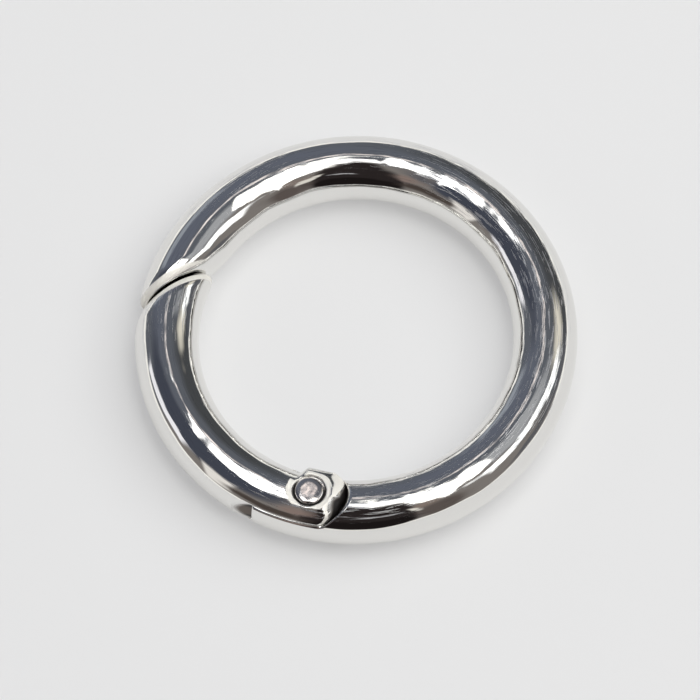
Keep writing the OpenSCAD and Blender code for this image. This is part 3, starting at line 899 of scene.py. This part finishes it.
def make_camera():
    """A camera whose picture shows the ring at its scale and place, from its angle."""
    right = VIEW_RIGHT.normalized()
    back = right.cross(VIEW_UP).normalized()
    up = back.cross(right)
    middle = (IMAGE_PX - 1) / 2
    target = ((middle - RING_AT_PX[0]) * right - (middle - RING_AT_PX[1]) * up) / PX_PER_MM * MM
    cam = bpy.data.cameras.new("camera")
    cam.sensor_width = SENSOR_MM
    cam.lens = PX_PER_MM / MM * SENSOR_MM / IMAGE_PX * CAMERA_AT
    ob = bpy.data.objects.new("camera", cam)
    ob.matrix_world = Matrix((right, up, back)).transposed().to_4x4()
    ob.location = target + back * CAMERA_AT
    bpy.context.scene.collection.objects.link(ob)
    bpy.context.scene.camera = ob


SOFTBOX_AT = Vector((0.3, 0.12, 0.55))    # m, above the floor, a little to the back and right
SOFTBOX_SIDE = 0.8            # m
SOFTBOX_POWER = 3.6           # W


def make_softbox():
    """A wide soft lamp that faces the ring. The plate mirrors the cards in its place."""
    lamp = bpy.data.lights.new("softbox", "AREA")
    lamp.size, lamp.energy = SOFTBOX_SIDE, SOFTBOX_POWER
    ob = bpy.data.objects.new("softbox", lamp)
    ob.location = SOFTBOX_AT
    ob.rotation_euler = SOFTBOX_AT.to_track_quat("Z", "Y").to_euler()
    ob.visible_glossy = False
    bpy.context.scene.collection.objects.link(ob)


FLOOR_HALF = 2                # m, from the ring to the floor's edges
FLOOR_GLOW = 0.45             # share of the floor's look that shadows don't reach


def make_floor(finish):
    """A sheet of matt white paper that the ring lies on, pale and without gloss. Part of its
    look is a glow that the camera and the plate see, in place of the light that a mirror
    throws into its own shadow."""
    low = min(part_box(name)[0].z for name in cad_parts)
    around = ((-1, -1), (1, -1), (1, 1), (-1, 1))
    mesh = bpy.data.meshes.new("floor")
    mesh.from_pydata([(x * FLOOR_HALF, y * FLOOR_HALF, low) for x, y in around], [], [(0, 1, 2, 3)])
    floor = bpy.data.objects.new("floor", mesh)
    bpy.context.scene.collection.objects.link(floor)
    mat, tree, shader = new_material("matt white paper")
    path = add(tree, "ShaderNodeLightPath")
    seen = add(tree, "ShaderNodeMath", {"operation": "MAXIMUM"}, i0=path.outputs["Is Camera Ray"],
               i1=path.outputs["Is Glossy Ray"])
    seen = add(tree, "ShaderNodeMath", {"operation": "MAXIMUM"}, i0=seen,
               i1=path.outputs["Is Transmission Ray"])
    glow = add(tree, "ShaderNodeMath", {"operation": "MULTIPLY"}, i0=seen, i1=FLOOR_GLOW)
    tree.links.new(glow.outputs[0], shader.inputs["Emission Strength"])
    shader.inputs["Emission Color"].default_value = (*finish.floor, 1)
    shader.inputs["Metallic"].default_value = 0.0
    shader.inputs["Roughness"].default_value = 0.8
    shader.inputs["Specular IOR Level"].default_value = 0.2
    shader.inputs["Base Color"].default_value = (*[c * (1 - FLOOR_GLOW) for c in finish.floor], 1)
    mesh.materials.append(mat)


# ---- Operators, one for each piece and one for the stage ----

def dress(ob, material, node):
    """Gives a finished piece and the CAD node that it replaces their material and slot."""
    ob.data.materials.append(material)
    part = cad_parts[node]
    part.data.materials.clear()
    part.data.materials.append(material)
    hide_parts(node)


class GATERING_OT_ring(bpy.types.Operator):
    """Lay the plated ring body: the bar from the socket of the hinge round to the nose"""

    bl_idname = "gate_ring.ring"
    bl_label = "Ring body"

    def execute(self, context):
        s = in_mm(context.scene.gate_ring_sizes)
        g = Plan(s)
        around = (-g.bar_r - MARGIN, g.bar_r + MARGIN)
        far = math.radians(s.hinge_angle + HINGE_SPAN)
        ob = end_bar("plated_ring", s, g, lambda p: body_distance(p, s, g),
                     (math.radians(s.hinge_angle - SOCKET_SPAN), far, around, around),
                     far_turn=far, reach=g.nose_reach, back=1, round_high=s.nose_round,
                     whole_turns=1)
        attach(ob, "ring")
        dress(ob, plate(context), "ring_body")
        return {"FINISHED"}


class GATERING_OT_gate(bpy.types.Operator):
    """Lay the plated gate: the bar from its knuckle at the hinge to its tip"""

    bl_idname = "gate_ring.gate"
    bl_label = "Gate"

    def execute(self, context):
        s = in_mm(context.scene.gate_ring_sizes)
        g = Plan(s)
        around = (-g.bar_r - MARGIN, g.bar_r + MARGIN)
        far = math.radians(s.hinge_angle - HINGE_SPAN)
        ob = end_bar("plated_gate", s, g, lambda p: gate_distance(p, s, g),
                     (far, math.radians(s.hinge_angle + KNUCKLE_SPAN), around, around),
                     far_turn=far, reach=g.gate_reach, back=-1, round_high=s.tip_round,
                     whole_turns=0)
        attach(ob, "swing_gate")
        dress(ob, plate(context), "gate")
        return {"FINISHED"}


class GATERING_OT_rivet(bpy.types.Operator):
    """Set the hinge rivet, with a head on each side of the gate's knuckle"""

    bl_idname = "gate_ring.rivet"
    bl_label = "Hinge rivet"

    def execute(self, context):
        s = in_mm(context.scene.gate_ring_sizes)
        ob = make_rivet(s, Plan(s))
        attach(ob, "swing_gate")
        dress(ob, rivet_material(context.scene.gate_ring_finish), "hinge_rivet")
        return {"FINISHED"}


class GATERING_OT_spring(bpy.types.Operator):
    """Wind the torsion spring round the rivet, a leg in the ring and a leg in the gate"""

    bl_idname = "gate_ring.spring"
    bl_label = "Torsion spring"

    def execute(self, context):
        s = in_mm(context.scene.gate_ring_sizes)
        g = Plan(s)
        ob = make_spring(s, g)
        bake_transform(ob)
        dress(ob, spring_material(context.scene.gate_ring_finish), "torsion_spring")
        return {"FINISHED"}


class GATERING_OT_stage(bpy.types.Operator):
    """Set the stage: surroundings, softbox, floor and camera"""

    bl_idname = "gate_ring.stage"
    bl_label = "Stage"

    def execute(self, context):
        make_world()
        make_softbox()
        make_floor(context.scene.gate_ring_finish)
        make_camera()
        context.scene.view_settings.view_transform = "Standard"
        return {"FINISHED"}


class GATERING_PT_panel(bpy.types.Panel):
    """Sizes, finish and the operators, in the 3D view's sidebar"""

    bl_idname = "GATERING_PT_panel"
    bl_label = "Gate Ring"
    bl_space_type = "VIEW_3D"
    bl_region_type = "UI"
    bl_category = "Gate Ring"

    def draw(self, context):
        layout = self.layout
        for operator in OPERATORS:
            layout.operator(operator.bl_idname)
        for group in (context.scene.gate_ring_sizes, context.scene.gate_ring_finish):
            column = layout.column()
            for name in group.__annotations__:
                column.prop(group, name)


OPERATORS = (GATERING_OT_ring, GATERING_OT_gate, GATERING_OT_rivet, GATERING_OT_spring,
             GATERING_OT_stage)
CLASSES = (GateRingSizes, GateRingFinish, *OPERATORS, GATERING_PT_panel)


def register():
    """Adds the classes to Blender, and the settings to its scenes."""
    for cls in CLASSES:
        bpy.utils.register_class(cls)
    bpy.types.Scene.gate_ring_sizes = PointerProperty(type=GateRingSizes)
    bpy.types.Scene.gate_ring_finish = PointerProperty(type=GateRingFinish)


def unregister():
    """Takes the settings and the classes away again."""
    del bpy.types.Scene.gate_ring_finish
    del bpy.types.Scene.gate_ring_sizes
    for cls in reversed(CLASSES):
        bpy.utils.unregister_class(cls)


def main():
    """Makes the pieces and the stage."""
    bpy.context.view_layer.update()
    register()
    bpy.ops.gate_ring.ring()
    bpy.ops.gate_ring.gate()
    bpy.ops.gate_ring.rivet()
    bpy.ops.gate_ring.spring()
    bpy.ops.gate_ring.stage()


if __name__ == "__main__":
    main()
